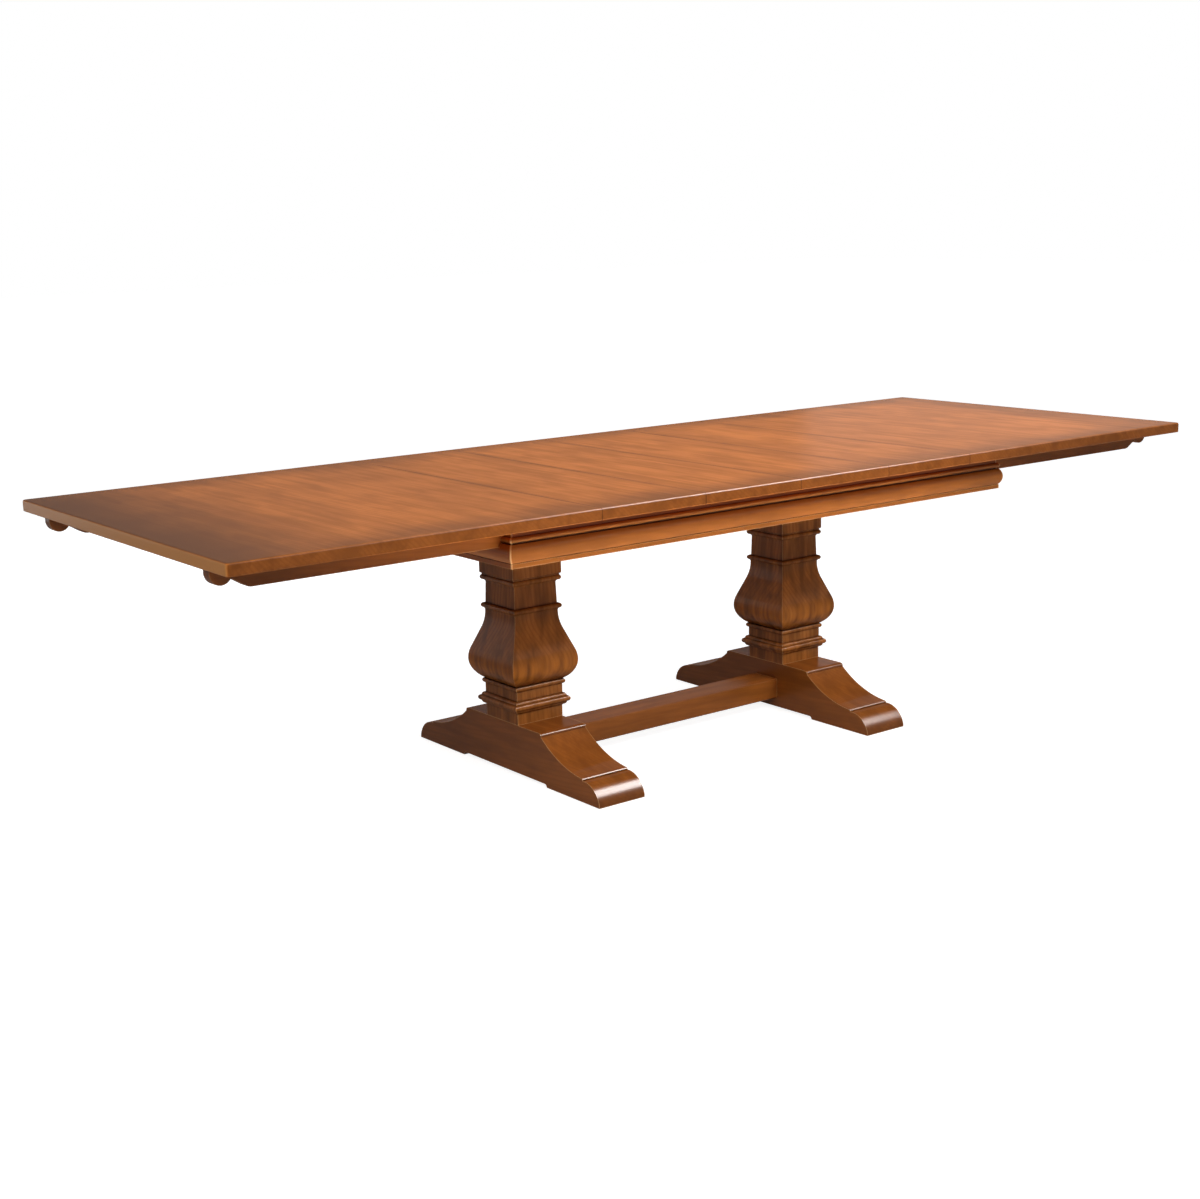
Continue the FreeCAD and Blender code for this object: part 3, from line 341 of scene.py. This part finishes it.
slow = add(tree, "TexNoise", {"Vector": top_spot.outputs["Object"], "Scale": METRE_IN_MM / UNEVEN_MM,
                              "Detail": 2.0})
drift = add(tree, "Math", {0: slow.outputs[0], 1: UNEVEN_REACH, 2: -UNEVEN_REACH / 2},
            operation="MULTIPLY_ADD")
leftwards = add(tree, "Math", {0: axis.outputs["X"], 1: -1.0}, operation="MULTIPLY")
sideways = add(tree, "Math", {0: axis.outputs["Y"]}, operation="ABSOLUTE")
RIMS = {
    # the left end's broader, darker shade is painted shade; the rest is the burnish
    "left": {"out": leftwards.outputs[0], "edge": TOP_HIGH.x, "reach": 450 * MM, "strength": 1.0},
    "right": {"out": axis.outputs["X"], "edge": TOP_HIGH.x, "reach": 230 * MM, "strength": 0.5},
    "sides": {"out": sideways.outputs[0], "edge": TOP_HIGH.y, "reach": 170 * MM, "strength": 0.58},
}
masks = []
for rim in RIMS.values():
    uneven = add(tree, "Math", {0: rim["out"], 1: drift.outputs[0]}, operation="ADD")
    masks.append(add(tree, "MapRange", {"Value": uneven.outputs[0], "From Min": rim["edge"] - rim["reach"],
                                        "From Max": rim["edge"], "To Max": rim["strength"]},
                     interpolation_type="SMOOTHSTEP"))
print("shade from", *RIMS)

# %% Shade beside the seams, and their dark lines
SEAM_LINE_DARK = "#2c170a"
SEAM_SHADE, SEAM_SHADE_STRENGTH = 22 * MM, 0.34
SEAM_LINE, SEAM_LINE_STRENGTH = 1.7 * MM, 0.95

to_seam = add(tree, "Math", {0: axis.outputs["X"], 1: LEAF_PITCH / 2}, operation="PINGPONG")
lengthways = add(tree, "Math", {0: axis.outputs["X"]}, operation="ABSOLUTE")
near_leaves = add(tree, "Math", {0: lengthways.outputs[0], 1: TOP_LOW.x + SEAM_SHADE},
                  operation="LESS_THAN")
for reach, strength in ((SEAM_SHADE, SEAM_SHADE_STRENGTH), (SEAM_LINE, SEAM_LINE_STRENGTH)):
    seam = add(tree, "MapRange", {"Value": to_seam.outputs[0], "From Max": reach, "To Min": strength,
                                  "To Max": 0.0}, interpolation_type="SMOOTHSTEP")
    masks.append(add(tree, "Math", {0: seam.outputs[0], 1: near_leaves.outputs[0]}, operation="MULTIPLY"))
*masks, seam_line = masks
print("seam lines of", SEAM_LINE, "m on each side, every", round(LEAF_PITCH, 4), "m")

# %% Lay the shade on the top faces
shade = masks[0]
for mask in masks[1:]:
    shade = add(tree, "Math", {0: shade.outputs[0], 1: mask.outputs[0]}, operation="MAXIMUM")
on_top = add(tree, "MapRange", {"Value": facing.outputs["Z"], "From Min": 0.6, "From Max": 0.95})
shade = add(tree, "Math", {0: shade.outputs[0], 1: on_top.outputs[0]}, operation="MULTIPLY")
burnished_and_shaded = add(tree, "Mix", {0: shade.outputs[0], 6: highlit.outputs[2], 7: linear(BURNISH_AND_PAINTED_SHADE)},
                data_type="RGBA")
lined = add(tree, "Mix", {0: seam_line.outputs[0], 6: burnished_and_shaded.outputs[2], 7: linear(SEAM_LINE_DARK)},
            data_type="RGBA")
tree.links.new(lined.outputs[2], top_shader.inputs["Base Color"])
print(len(masks), "shades joined into one burnish")

# %% [markdown]
# ## The hidden materials
# Under the top, bearers, guides, battens and racks are plain planed poplar without stain. Rods, nuts, the
# axle and the screws are zinc-plated steel, and the gear and the glides are white nylon. They are hardly
# seen, but a learner who turns the table over finds them, so they get real finishes too.

# %% Planed poplar
# Planed poplar without lacquer: pale, dry and even, with hardly any shine
POPLAR, POPLAR_DARK, POPLAR_END = "#d2b98e", "#b0946a", "#c8b8a0"
POPLAR_SHINE = 0.15
poplar = {}
for grain in "XY":
    poplar[grain], shader, spot = finished_wood(f"planed_poplar_along_{grain}", grain, POPLAR, POPLAR_DARK,
                                                POPLAR_END, lacquer=0.0)
    shader.inputs["Specular IOR Level"].default_value = POPLAR_SHINE
print("poplar with the grain along", *poplar)

# %% Zinc-plated steel and nylon
# Zinc-plated steel: a cool grey that mirrors softly, a little cloudy from the plating bath
# Moulded nylon: milky white with a dull shine, never mirror-like
PLAIN = {
    "zinc_plated_steel": {"colour": "#b4b6b8", "metallic": 1.0, "rough": 0.34, "grit_mm": 6},
    "white_nylon": {"colour": "#dcd8cc", "metallic": 0.0, "rough": 0.48, "grit_mm": 3},
}
UNEVEN_SHINE = 0.08
plain = {}
for name, look in PLAIN.items():
    plain[name] = bpy.data.materials.new(name)
    tree = bare_tree(plain[name])
    spot = add(tree, "TexCoord")
    grit = add(tree, "TexNoise", {"Vector": spot.outputs["Object"], "Detail": 2.0,
                                  "Scale": METRE_IN_MM / look["grit_mm"]})
    dull = add(tree, "MapRange", {"Value": grit.outputs[0], "To Min": look["rough"] - UNEVEN_SHINE,
                                  "To Max": look["rough"] + UNEVEN_SHINE})
    shader = add(tree, "BsdfPrincipled", {"Base Color": linear(look["colour"]),
                                          "Metallic": look["metallic"], "Roughness": dull.outputs[0]})
    add(tree, "OutputMaterial", {"Surface": shader.outputs[0]})
print("plain finishes:", *plain)

# %% [markdown]
# ## Which piece gets which finish
# A finish goes to a piece by its name. It could follow from the shape, but a name is safer. On shown wood the
# grain runs along the piece, as a joiner cuts it: upright in the columns, along the feet, the rails and the
# aprons, and across the table in the boards of the top.

# %% Assign the finishes
FINISH = {
    top_wood: ("left_top", "right_top", "leaf_1", "leaf_2", "leaf_3", "leaf_4"),
    base_wood["X"]: ("stretcher", "apron_front", "apron_rear", "left_rail_front", "left_rail_rear",
                     "right_rail_front", "right_rail_rear"),
    base_wood["Y"]: ("left_foot", "right_foot", "apron_left", "apron_right"),
    base_wood["Z"]: ("left_column", "right_column"),
    poplar["X"]: ("guide_rail_front", "guide_rail_rear", "left_rack", "right_rack", "rack_keepers"),
    plain["zinc_plated_steel"]: ("left_tie_rod", "right_tie_rod", "tie_rod_nuts", "pinion_axle"),
    plain["white_nylon"]: ("foot_glides", "pinion"),
}
finish_of = {name: material for material, names in FINISH.items() for name in names}
for name, piece in frame["nodes"].items():
    piece.data.materials.clear()
    piece.data.materials.append(finish_of.get(name, poplar["Y"]))
print(len(finish_of), "named finishes, the rest in poplar along Y")

# %% [markdown]
# ## Softened edges
# A joiner never leaves a sharp arris: sandpaper and lacquer turn every edge into a small round that catches
# the light. The solids have knife-sharp edges and curves of flat facets. A Bevel modifier would round every
# corner, the inner ones too, so each shown piece is copied instead, its loose triangles are joined, and only
# the outer edges that a hand can reach are bevelled. Smooth shading with weighted normals hides the facets.

# %% How a copy is made and softened
JOIN = 0.001 * MM
SAME_PLANE = math.radians(0.3)
CREASE = math.radians(28)
ROUND_STEPS = 3


def soften(name, slot, *easings):
    """Stand a smooth copy in for a solid; each easing gives a width, the edges to pick and the steps."""
    solid = frame["nodes"][name]
    shape = bmesh.new()
    shape.from_mesh(solid.data)
    bmesh.ops.remove_doubles(shape, verts=shape.verts, dist=JOIN)
    bmesh.ops.dissolve_limit(shape, angle_limit=SAME_PLANE, verts=shape.verts, edges=shape.edges)
    eased = 0
    for width, picked, steps in easings:
        arrises = [edge for edge in shape.edges
                   if edge.is_manifold and edge.calc_face_angle_signed() > CREASE
                   and picked(*(corner.co for corner in edge.verts))]
        bmesh.ops.bevel(shape, geom=arrises, offset=width, offset_type="OFFSET", segments=steps,
                        profile=0.5, affect="EDGES", clamp_overlap=True, material=-1)
        eased += len(arrises)
    for face in shape.faces:
        face.smooth = True
    mesh = bpy.data.meshes.new(f"{name}_eased")
    shape.to_mesh(mesh)
    shape.free()
    if mesh.has_custom_normals:
        mesh.attributes.remove(mesh.attributes["custom_normal"])
    mesh.set_sharp_from_angle(angle=CREASE)
    mesh.materials.append(solid.data.materials[0])
    piece = bpy.data.objects.new(f"{name}_eased", mesh)
    bpy.context.scene.collection.objects.link(piece)
    level = piece.modifiers.new("level_faces", "WEIGHTED_NORMAL")
    level.keep_sharp = True
    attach(piece, solid.parent.name.removeprefix("body:"))
    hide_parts(name)
    print(f"{name}: {eased} edges eased, {len(mesh.polygons)} faces")


print("edges of more than", round(math.degrees(CREASE)), "degrees count as sharp")

# %% [markdown]
# ## The pedestals
# On the columns only the four long corners are eased, because the mouldings between them are smooth
# already. On the feet the edges of both flanks are eased, and so are the ridges across them, above the toes
# and at the shoulders, which show as cream lines in the photo. A painted line would stay put when the light
# moves, so the ridges are planed off as narrow flats that mirror a lamp.

# %% Ease the columns and the feet
COLUMN_EASE, FLANK_EASE, TOE_EASE, SHOULDER_EASE = 1.6 * MM, 2.0 * MM, 1.7 * MM, 4.0 * MM
TOE_STEPS, SHOULDER_STEPS = 1, 2
CORNER_REACH = 50 * MM
RIDGE_LOW, RIDGE_HIGH = 40 * MM, 100 * MM
NEARLY_WHOLE = 0.95
TOUCH = 0.1 * MM
for side in ("left", "right"):
    low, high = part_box(f"{side}_foot")
    middle, wide = (low.x + high.x) / 2, high.x - low.x

    def on_corner(a, b):
        return all(abs(abs(p.x - middle) - abs(p.y)) < TOUCH and abs(p.y) > CORNER_REACH for p in (a, b))

    def on_flank(a, b):
        return all(abs(abs(p.x - middle) - wide / 2) < TOUCH for p in (a, b))

    def on_toe_ridge(a, b):
        return abs(a.x - b.x) > NEARLY_WHOLE * wide and RIDGE_LOW < a.z < RIDGE_HIGH

    def on_shoulder(a, b):
        return abs(a.x - b.x) > NEARLY_WHOLE * wide and a.z > RIDGE_HIGH

    soften(f"{side}_column", "base_wood", (COLUMN_EASE, on_corner, ROUND_STEPS))
    soften(f"{side}_foot", "base_wood", (TOE_EASE, on_toe_ridge, TOE_STEPS),
           (SHOULDER_EASE, on_shoulder, SHOULDER_STEPS), (FLANK_EASE, on_flank, ROUND_STEPS))

# %% Ease the stretcher, the aprons and the sliding rails
STRETCHER_EASE, APRON_EASE, RAIL_EASE = 5.0 * MM, 0.7 * MM, 1.2 * MM
LONG = 300 * MM


def is_long(a, b):
    return (a - b).length > LONG


def is_any(a, b):
    return True


soften("stretcher", "base_wood", (STRETCHER_EASE, is_long, ROUND_STEPS))
for place in ("front", "rear", "left", "right"):
    soften(f"apron_{place}", "base_wood", (APRON_EASE, is_long, ROUND_STEPS))
for side in ("left", "right"):
    for place in ("front", "rear"):
        soften(f"{side}_rail_{place}", "base_wood", (RAIL_EASE, is_any, ROUND_STEPS))

# %% Ease the seams of the top
SEAM_EASE = 0.6 * MM
SEAMS = [LEAF_PITCH * number for number in range(-2, 3)]
PANEL_MIDDLE = (TOP_LOW.z + TOP_HIGH.z) / 2
MORTISE_HALF, MORTISE_INSET = 6 * MM, 10 * MM


def on_seam(a, b):
    """True on the rim of a seam face, and not at the mortises in its middle."""
    beside = any(all(abs(p.x - seam) < SEAM_GAP for p in (a, b)) for seam in SEAMS)
    in_middle = all(abs(p.z - PANEL_MIDDLE) < MORTISE_HALF and abs(p.y) < TOP_HIGH.y - MORTISE_INSET
                    for p in (a, b))
    return beside and not in_middle


for name in FINISH[top_wood]:
    soften(name, "top_wood", (SEAM_EASE, on_seam, ROUND_STEPS))

# %% [markdown]
# ## Screws
# Screws hold the fixed guide rails to the bearers, the sliding rails and the battens to the halves, and the
# racks to the battens. They sit underneath, where only someone who turns the table over sees them. A screw
# is a pan head with a cross recess. It could be cut with booleans, but a short cylinder with a bevelled rim
# is enough: four cuts each way draw the cross on its flat, and the cross is pushed in. The others are copies
# of this head, joined into one piece for each body that they move with.

# %% One screw head
HEAD_RADIUS, HEAD_HEIGHT, HEAD_ROUND = 4.2 * MM, 2.2 * MM, 1.1 * MM
CROSS_REACH, CROSS_HALF, CROSS_DEPTH = 2.1 * MM, 0.55 * MM, 1.3 * MM
HEAD_SIDES = 24
FLAT = -0.99 * HEAD_HEIGHT  # what lies below this height belongs to the flat of the head

head = bmesh.new()
bmesh.ops.create_cone(head, cap_ends=True, segments=HEAD_SIDES, radius1=HEAD_RADIUS, radius2=HEAD_RADIUS,
                      depth=HEAD_HEIGHT, matrix=Matrix.Translation((0, 0, -HEAD_HEIGHT / 2)))
rim = [edge for edge in head.edges if all(corner.co.z < FLAT for corner in edge.verts)]
bmesh.ops.bevel(head, geom=rim, offset=HEAD_ROUND, offset_type="OFFSET", segments=ROUND_STEPS,
                profile=0.5, affect="EDGES", clamp_overlap=True, material=-1)
for direction in (Vector((1, 0, 0)), Vector((0, 1, 0))):
    for reach in (-CROSS_REACH, -CROSS_HALF, CROSS_HALF, CROSS_REACH):
        low_faces = [face for face in head.faces if face.calc_center_median().z < FLAT]
        around = dict.fromkeys(part for face in low_faces for part in (face, *face.edges, *face.verts))
        bmesh.ops.bisect_plane(head, geom=list(around), plane_co=direction * reach, plane_no=direction)
print("a head with", len(head.faces), "faces before its recess")

# %% Press the cross into the head
cross = []
for face in head.faces:
    centre = face.calc_center_median()
    near, far = sorted((abs(centre.x), abs(centre.y)))
    if centre.z < FLAT and near < CROSS_HALF and far < CROSS_REACH:
        cross.append(face)
pressed = bmesh.ops.extrude_face_region(head, geom=cross)["geom"]
bmesh.ops.delete(head, geom=cross, context="FACES")
bmesh.ops.translate(head, verts=[part for part in pressed if isinstance(part, bmesh.types.BMVert)],
                    vec=(0, 0, CROSS_DEPTH))
bmesh.ops.recalc_face_normals(head, faces=head.faces)
one_head = bpy.data.meshes.new("one_head")
head.to_mesh(one_head)
head.free()
print("a screw head of", len(one_head.polygons), "faces")

# %% Places of the screws, in millimetres
GUIDE_X, GUIDE_Y, GUIDE_Z = (-502.2, -412.2, -30, 30, 412.2, 502.2), 398.5, 644.5
RAIL_X, RAIL_Y, RAIL_Z = (660, 900, 1140, 1380), 427, 685
BATTEN_X, BATTEN_Y, BATTEN_Z = 679.6, (-320, -200, -100, 100, 200, 320), 711
RACK_X, RACK_Y, RACK_Z = (665, 695), 52, 685
places = {"base": [(x, y, GUIDE_Z) for y in (-GUIDE_Y, GUIDE_Y) for x in GUIDE_X]}
for body, sign in (("left_half", -1), ("right_half", 1)):
    places[body] = [(sign * x, y, RAIL_Z) for y in (-RAIL_Y, RAIL_Y) for x in RAIL_X]
    places[body] += [(sign * BATTEN_X, y, BATTEN_Z) for y in BATTEN_Y]
    places[body] += [(sign * x, -sign * RACK_Y, RACK_Z) for x in RACK_X]
print("screws:", {body: len(spots) for body, spots in places.items()})

# %% Screws under each body
for body, spots in places.items():
    shape = bmesh.new()
    for spot in spots:
        ready = set(shape.verts)
        shape.from_mesh(one_head)
        bmesh.ops.translate(shape, verts=[corner for corner in shape.verts if corner not in ready],
                            vec=Vector(spot) * MM)
    mesh = bpy.data.meshes.new(f"{body}_screws")
    shape.to_mesh(mesh)
    shape.free()
    mesh.materials.append(plain["zinc_plated_steel"])
    piece = bpy.data.objects.new(f"{body}_screws", mesh)
    bpy.context.scene.collection.objects.link(piece)
    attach(piece, body)
    print(piece.name, len(mesh.polygons), "faces")
bpy.data.meshes.remove(one_head)

# %% [markdown]
# ## The camera
# The photo was taken from the left front corner, standing back, with a slightly tilted camera. The place,
# the three angles and the lens could be found by eye, but here they were fitted to the table's straight
# outlines.

# %% Camera
CAMERA_PLACE = Vector((-3.009, -3.6936, 1.4175))
PAN, TILT, ROLL = math.radians(-37.212), math.radians(90 - 12.319), math.radians(-1.330)
LENS = 53.96

camera_data = bpy.data.cameras.new("camera")
camera_data.lens = LENS
camera_data.sensor_fit = "HORIZONTAL"
camera = bpy.data.objects.new("camera", camera_data)
turn = Matrix.Rotation(PAN, 4, "Z") @ Matrix.Rotation(TILT, 4, "X") @ Matrix.Rotation(ROLL, 4, "Z")
camera.matrix_world = Matrix.Translation(CAMERA_PLACE) @ turn
bpy.context.scene.collection.objects.link(camera)
bpy.context.scene.camera = camera
print("camera looks along", [round(part, 3) for part in turn @ Vector((0, 0, -1, 0))][:3])

# %% [markdown]
# ## The floor and the white background
# The photo has a white background. More light would whiten the floor, but burn out the wood, so the sky
# shows as white to the camera and in reflections, and lights the wood with less. The floor is a pale plane
# that takes the table's shadow, with a little glow of its own for the same rays, so that only the shadow
# stays grey.

# %% Which rays see the background


def seen_directly(tree):
    """A socket that is one for camera, mirror and glass rays, and zero for light that falls on things."""
    ray = add(tree, "LightPath")
    seen = add(tree, "Math", {0: ray.outputs["Is Camera Ray"], 1: ray.outputs["Is Glossy Ray"]},
               operation="MAXIMUM")
    seen = add(tree, "Math", {0: seen.outputs[0], 1: ray.outputs["Is Transmission Ray"]},
               operation="MAXIMUM")
    return seen.outputs[0]


print("the background shows to camera, mirror and glass rays")

# %% Floor
# Matt floor paint: pale, even and without any shine, so that only the shadow shows on it
FLOOR_SIDE = 60
FLOOR_GREY, WHITE = "#b0b0b0", "#ffffff"
FLOOR_GLOW_NEAR, FLOOR_GLOW_FAR = 0.88, 1.0
GLOW_START, GLOW_FULL = 2.5, 7.0

floor_mesh = bpy.data.meshes.new("floor")
shape = bmesh.new()
bmesh.ops.create_grid(shape, x_segments=1, y_segments=1, size=FLOOR_SIDE / 2)
shape.to_mesh(floor_mesh)
shape.free()
floor = bpy.data.objects.new("floor", floor_mesh)
bpy.context.scene.collection.objects.link(floor)
floor_paint = bpy.data.materials.new("white_floor_paint")
tree = bare_tree(floor_paint)
spot = add(tree, "TexCoord")
away = add(tree, "VectorMath", {0: spot.outputs["Object"]}, operation="LENGTH")
fade = add(tree, "MapRange", {"Value": away.outputs["Value"], "From Min": GLOW_START,
                              "From Max": GLOW_FULL, "To Min": FLOOR_GLOW_NEAR, "To Max": FLOOR_GLOW_FAR})
glow = add(tree, "Math", {0: seen_directly(tree), 1: fade.outputs[0]}, operation="MULTIPLY")
paint = add(tree, "BsdfPrincipled", {"Base Color": linear(FLOOR_GREY), "Roughness": 0.9,
                                     "Specular IOR Level": 0.0, "Emission Color": linear(WHITE),
                                     "Emission Strength": glow.outputs[0]})
add(tree, "OutputMaterial", {"Surface": paint.outputs[0]})
floor_mesh.materials.append(floor_paint)
print("floor of", FLOOR_SIDE, "m")

# %% Sky
SKY_LIGHT, SKY_SHOWN = 0.04, 1.0

world = bpy.data.worlds.new("white_sky")
bpy.context.scene.world = world
tree = bare_tree(world)
strength = add(tree, "MapRange", {"Value": seen_directly(tree), "To Min": SKY_LIGHT, "To Max": SKY_SHOWN})
sky = add(tree, "Background", {"Color": linear(WHITE), "Strength": strength.outputs[0]})
add(tree, "OutputWorld", {"Surface": sky.outputs[0]})
print("sky shows", SKY_SHOWN, "and lights with", SKY_LIGHT)

# %% [markdown]
# ## Studio light
# One large lamp could light the table, but the photo's light was read piece by piece. The top is lit from
# above, the feet from the left, and the near faces of the columns from the right front, under the edge of
# the top. A narrow box in front fills the near side, a weak low one and one just above the floor reach the
# apron, and one more lights the back. The cream lines on the edges and the bright band on the toes are a
# large box seen in the lacquer. It only makes reflections here, as do two weaker boxes far behind on the
# left and on the right, because as lamps they would burn out the wood.

# %% Lamps, places and sizes in metres
AIM = (0.2, 0.0, 0.5)
FULL_SPREAD = 180
LAMPS = {
    "softbox_right_front": {"place": (1.1, -3.5, 3.4), "size": (1.6, 0.7), "watts": 130},
    "softbox_front": {"place": (-1.3, -3.6, 2.5), "size": (2.0, 0.4), "watts": 36, "sheen": False},
    "softbox_low_front": {"place": (0.3, -3.4, 0.3), "size": (3.0, 0.4), "watts": 5, "sheen": False},
    "softbox_floor": {"place": (-0.2, -0.8, 0.05), "aim": (-0.2, -0.47, 0.66), "size": (1.8, 0.2),
                      "watts": 4, "spread": 60, "sheen": False},
    "softbox_left": {"place": (-4.5, -1.5, 2.6), "size": (1.2, 1.2), "watts": 34},
    "softbox_left_front": {"place": (-3.6, -2.4, 3.2), "size": (1.6, 1.6), "watts": 54},
    "softbox_over_top": {"place": (1.2, 0.4, 3.4), "size": (2.0, 1.2), "watts": 53},
    "softbox_behind": {"place": (0.4, 4.2, 2.2), "size": (2.4, 1.2), "watts": 60, "sheen": False},
    "sheen_box": {"place": (2.6, -2.05, 3.3), "aim": (2.6, 0.0, 0.0), "size": (2.2, 2.5),
                  "watts": 2050, "colour": False},
    "sheen_left": {"place": (-2.5, 4.5, 0.8), "aim": (0.0, 0.0, 0.4), "size": (2.0, 1.6),
                   "watts": 42, "colour": False},
    "sheen_far_right": {"place": (5.6, 3.4, 1.4), "aim": (1.4, 0.0, 0.7), "size": (2.6, 1.0),
                        "watts": 12, "colour": False},
}
for name, lamp in LAMPS.items():
    light = bpy.data.lights.new(name, "AREA")
    light.shape = "RECTANGLE"
    light.size, light.size_y = lamp["size"]
    light.energy = lamp["watts"]
    light.spread = math.radians(lamp.get("spread", FULL_SPREAD))
    holder = bpy.data.objects.new(name, light)
    place = Vector(lamp["place"])
    aim = (Vector(lamp.get("aim", AIM)) - place).to_track_quat("-Z", "Y").to_matrix().to_4x4()
    holder.matrix_world = Matrix.Translation(place) @ aim
    holder.visible_diffuse = lamp.get("colour", True)
    holder.visible_glossy = lamp.get("sheen", True)
    holder.visible_camera = False
    bpy.context.scene.collection.objects.link(holder)
bpy.context.scene.view_settings.view_transform = "Standard"
print("lamps:", *LAMPS)
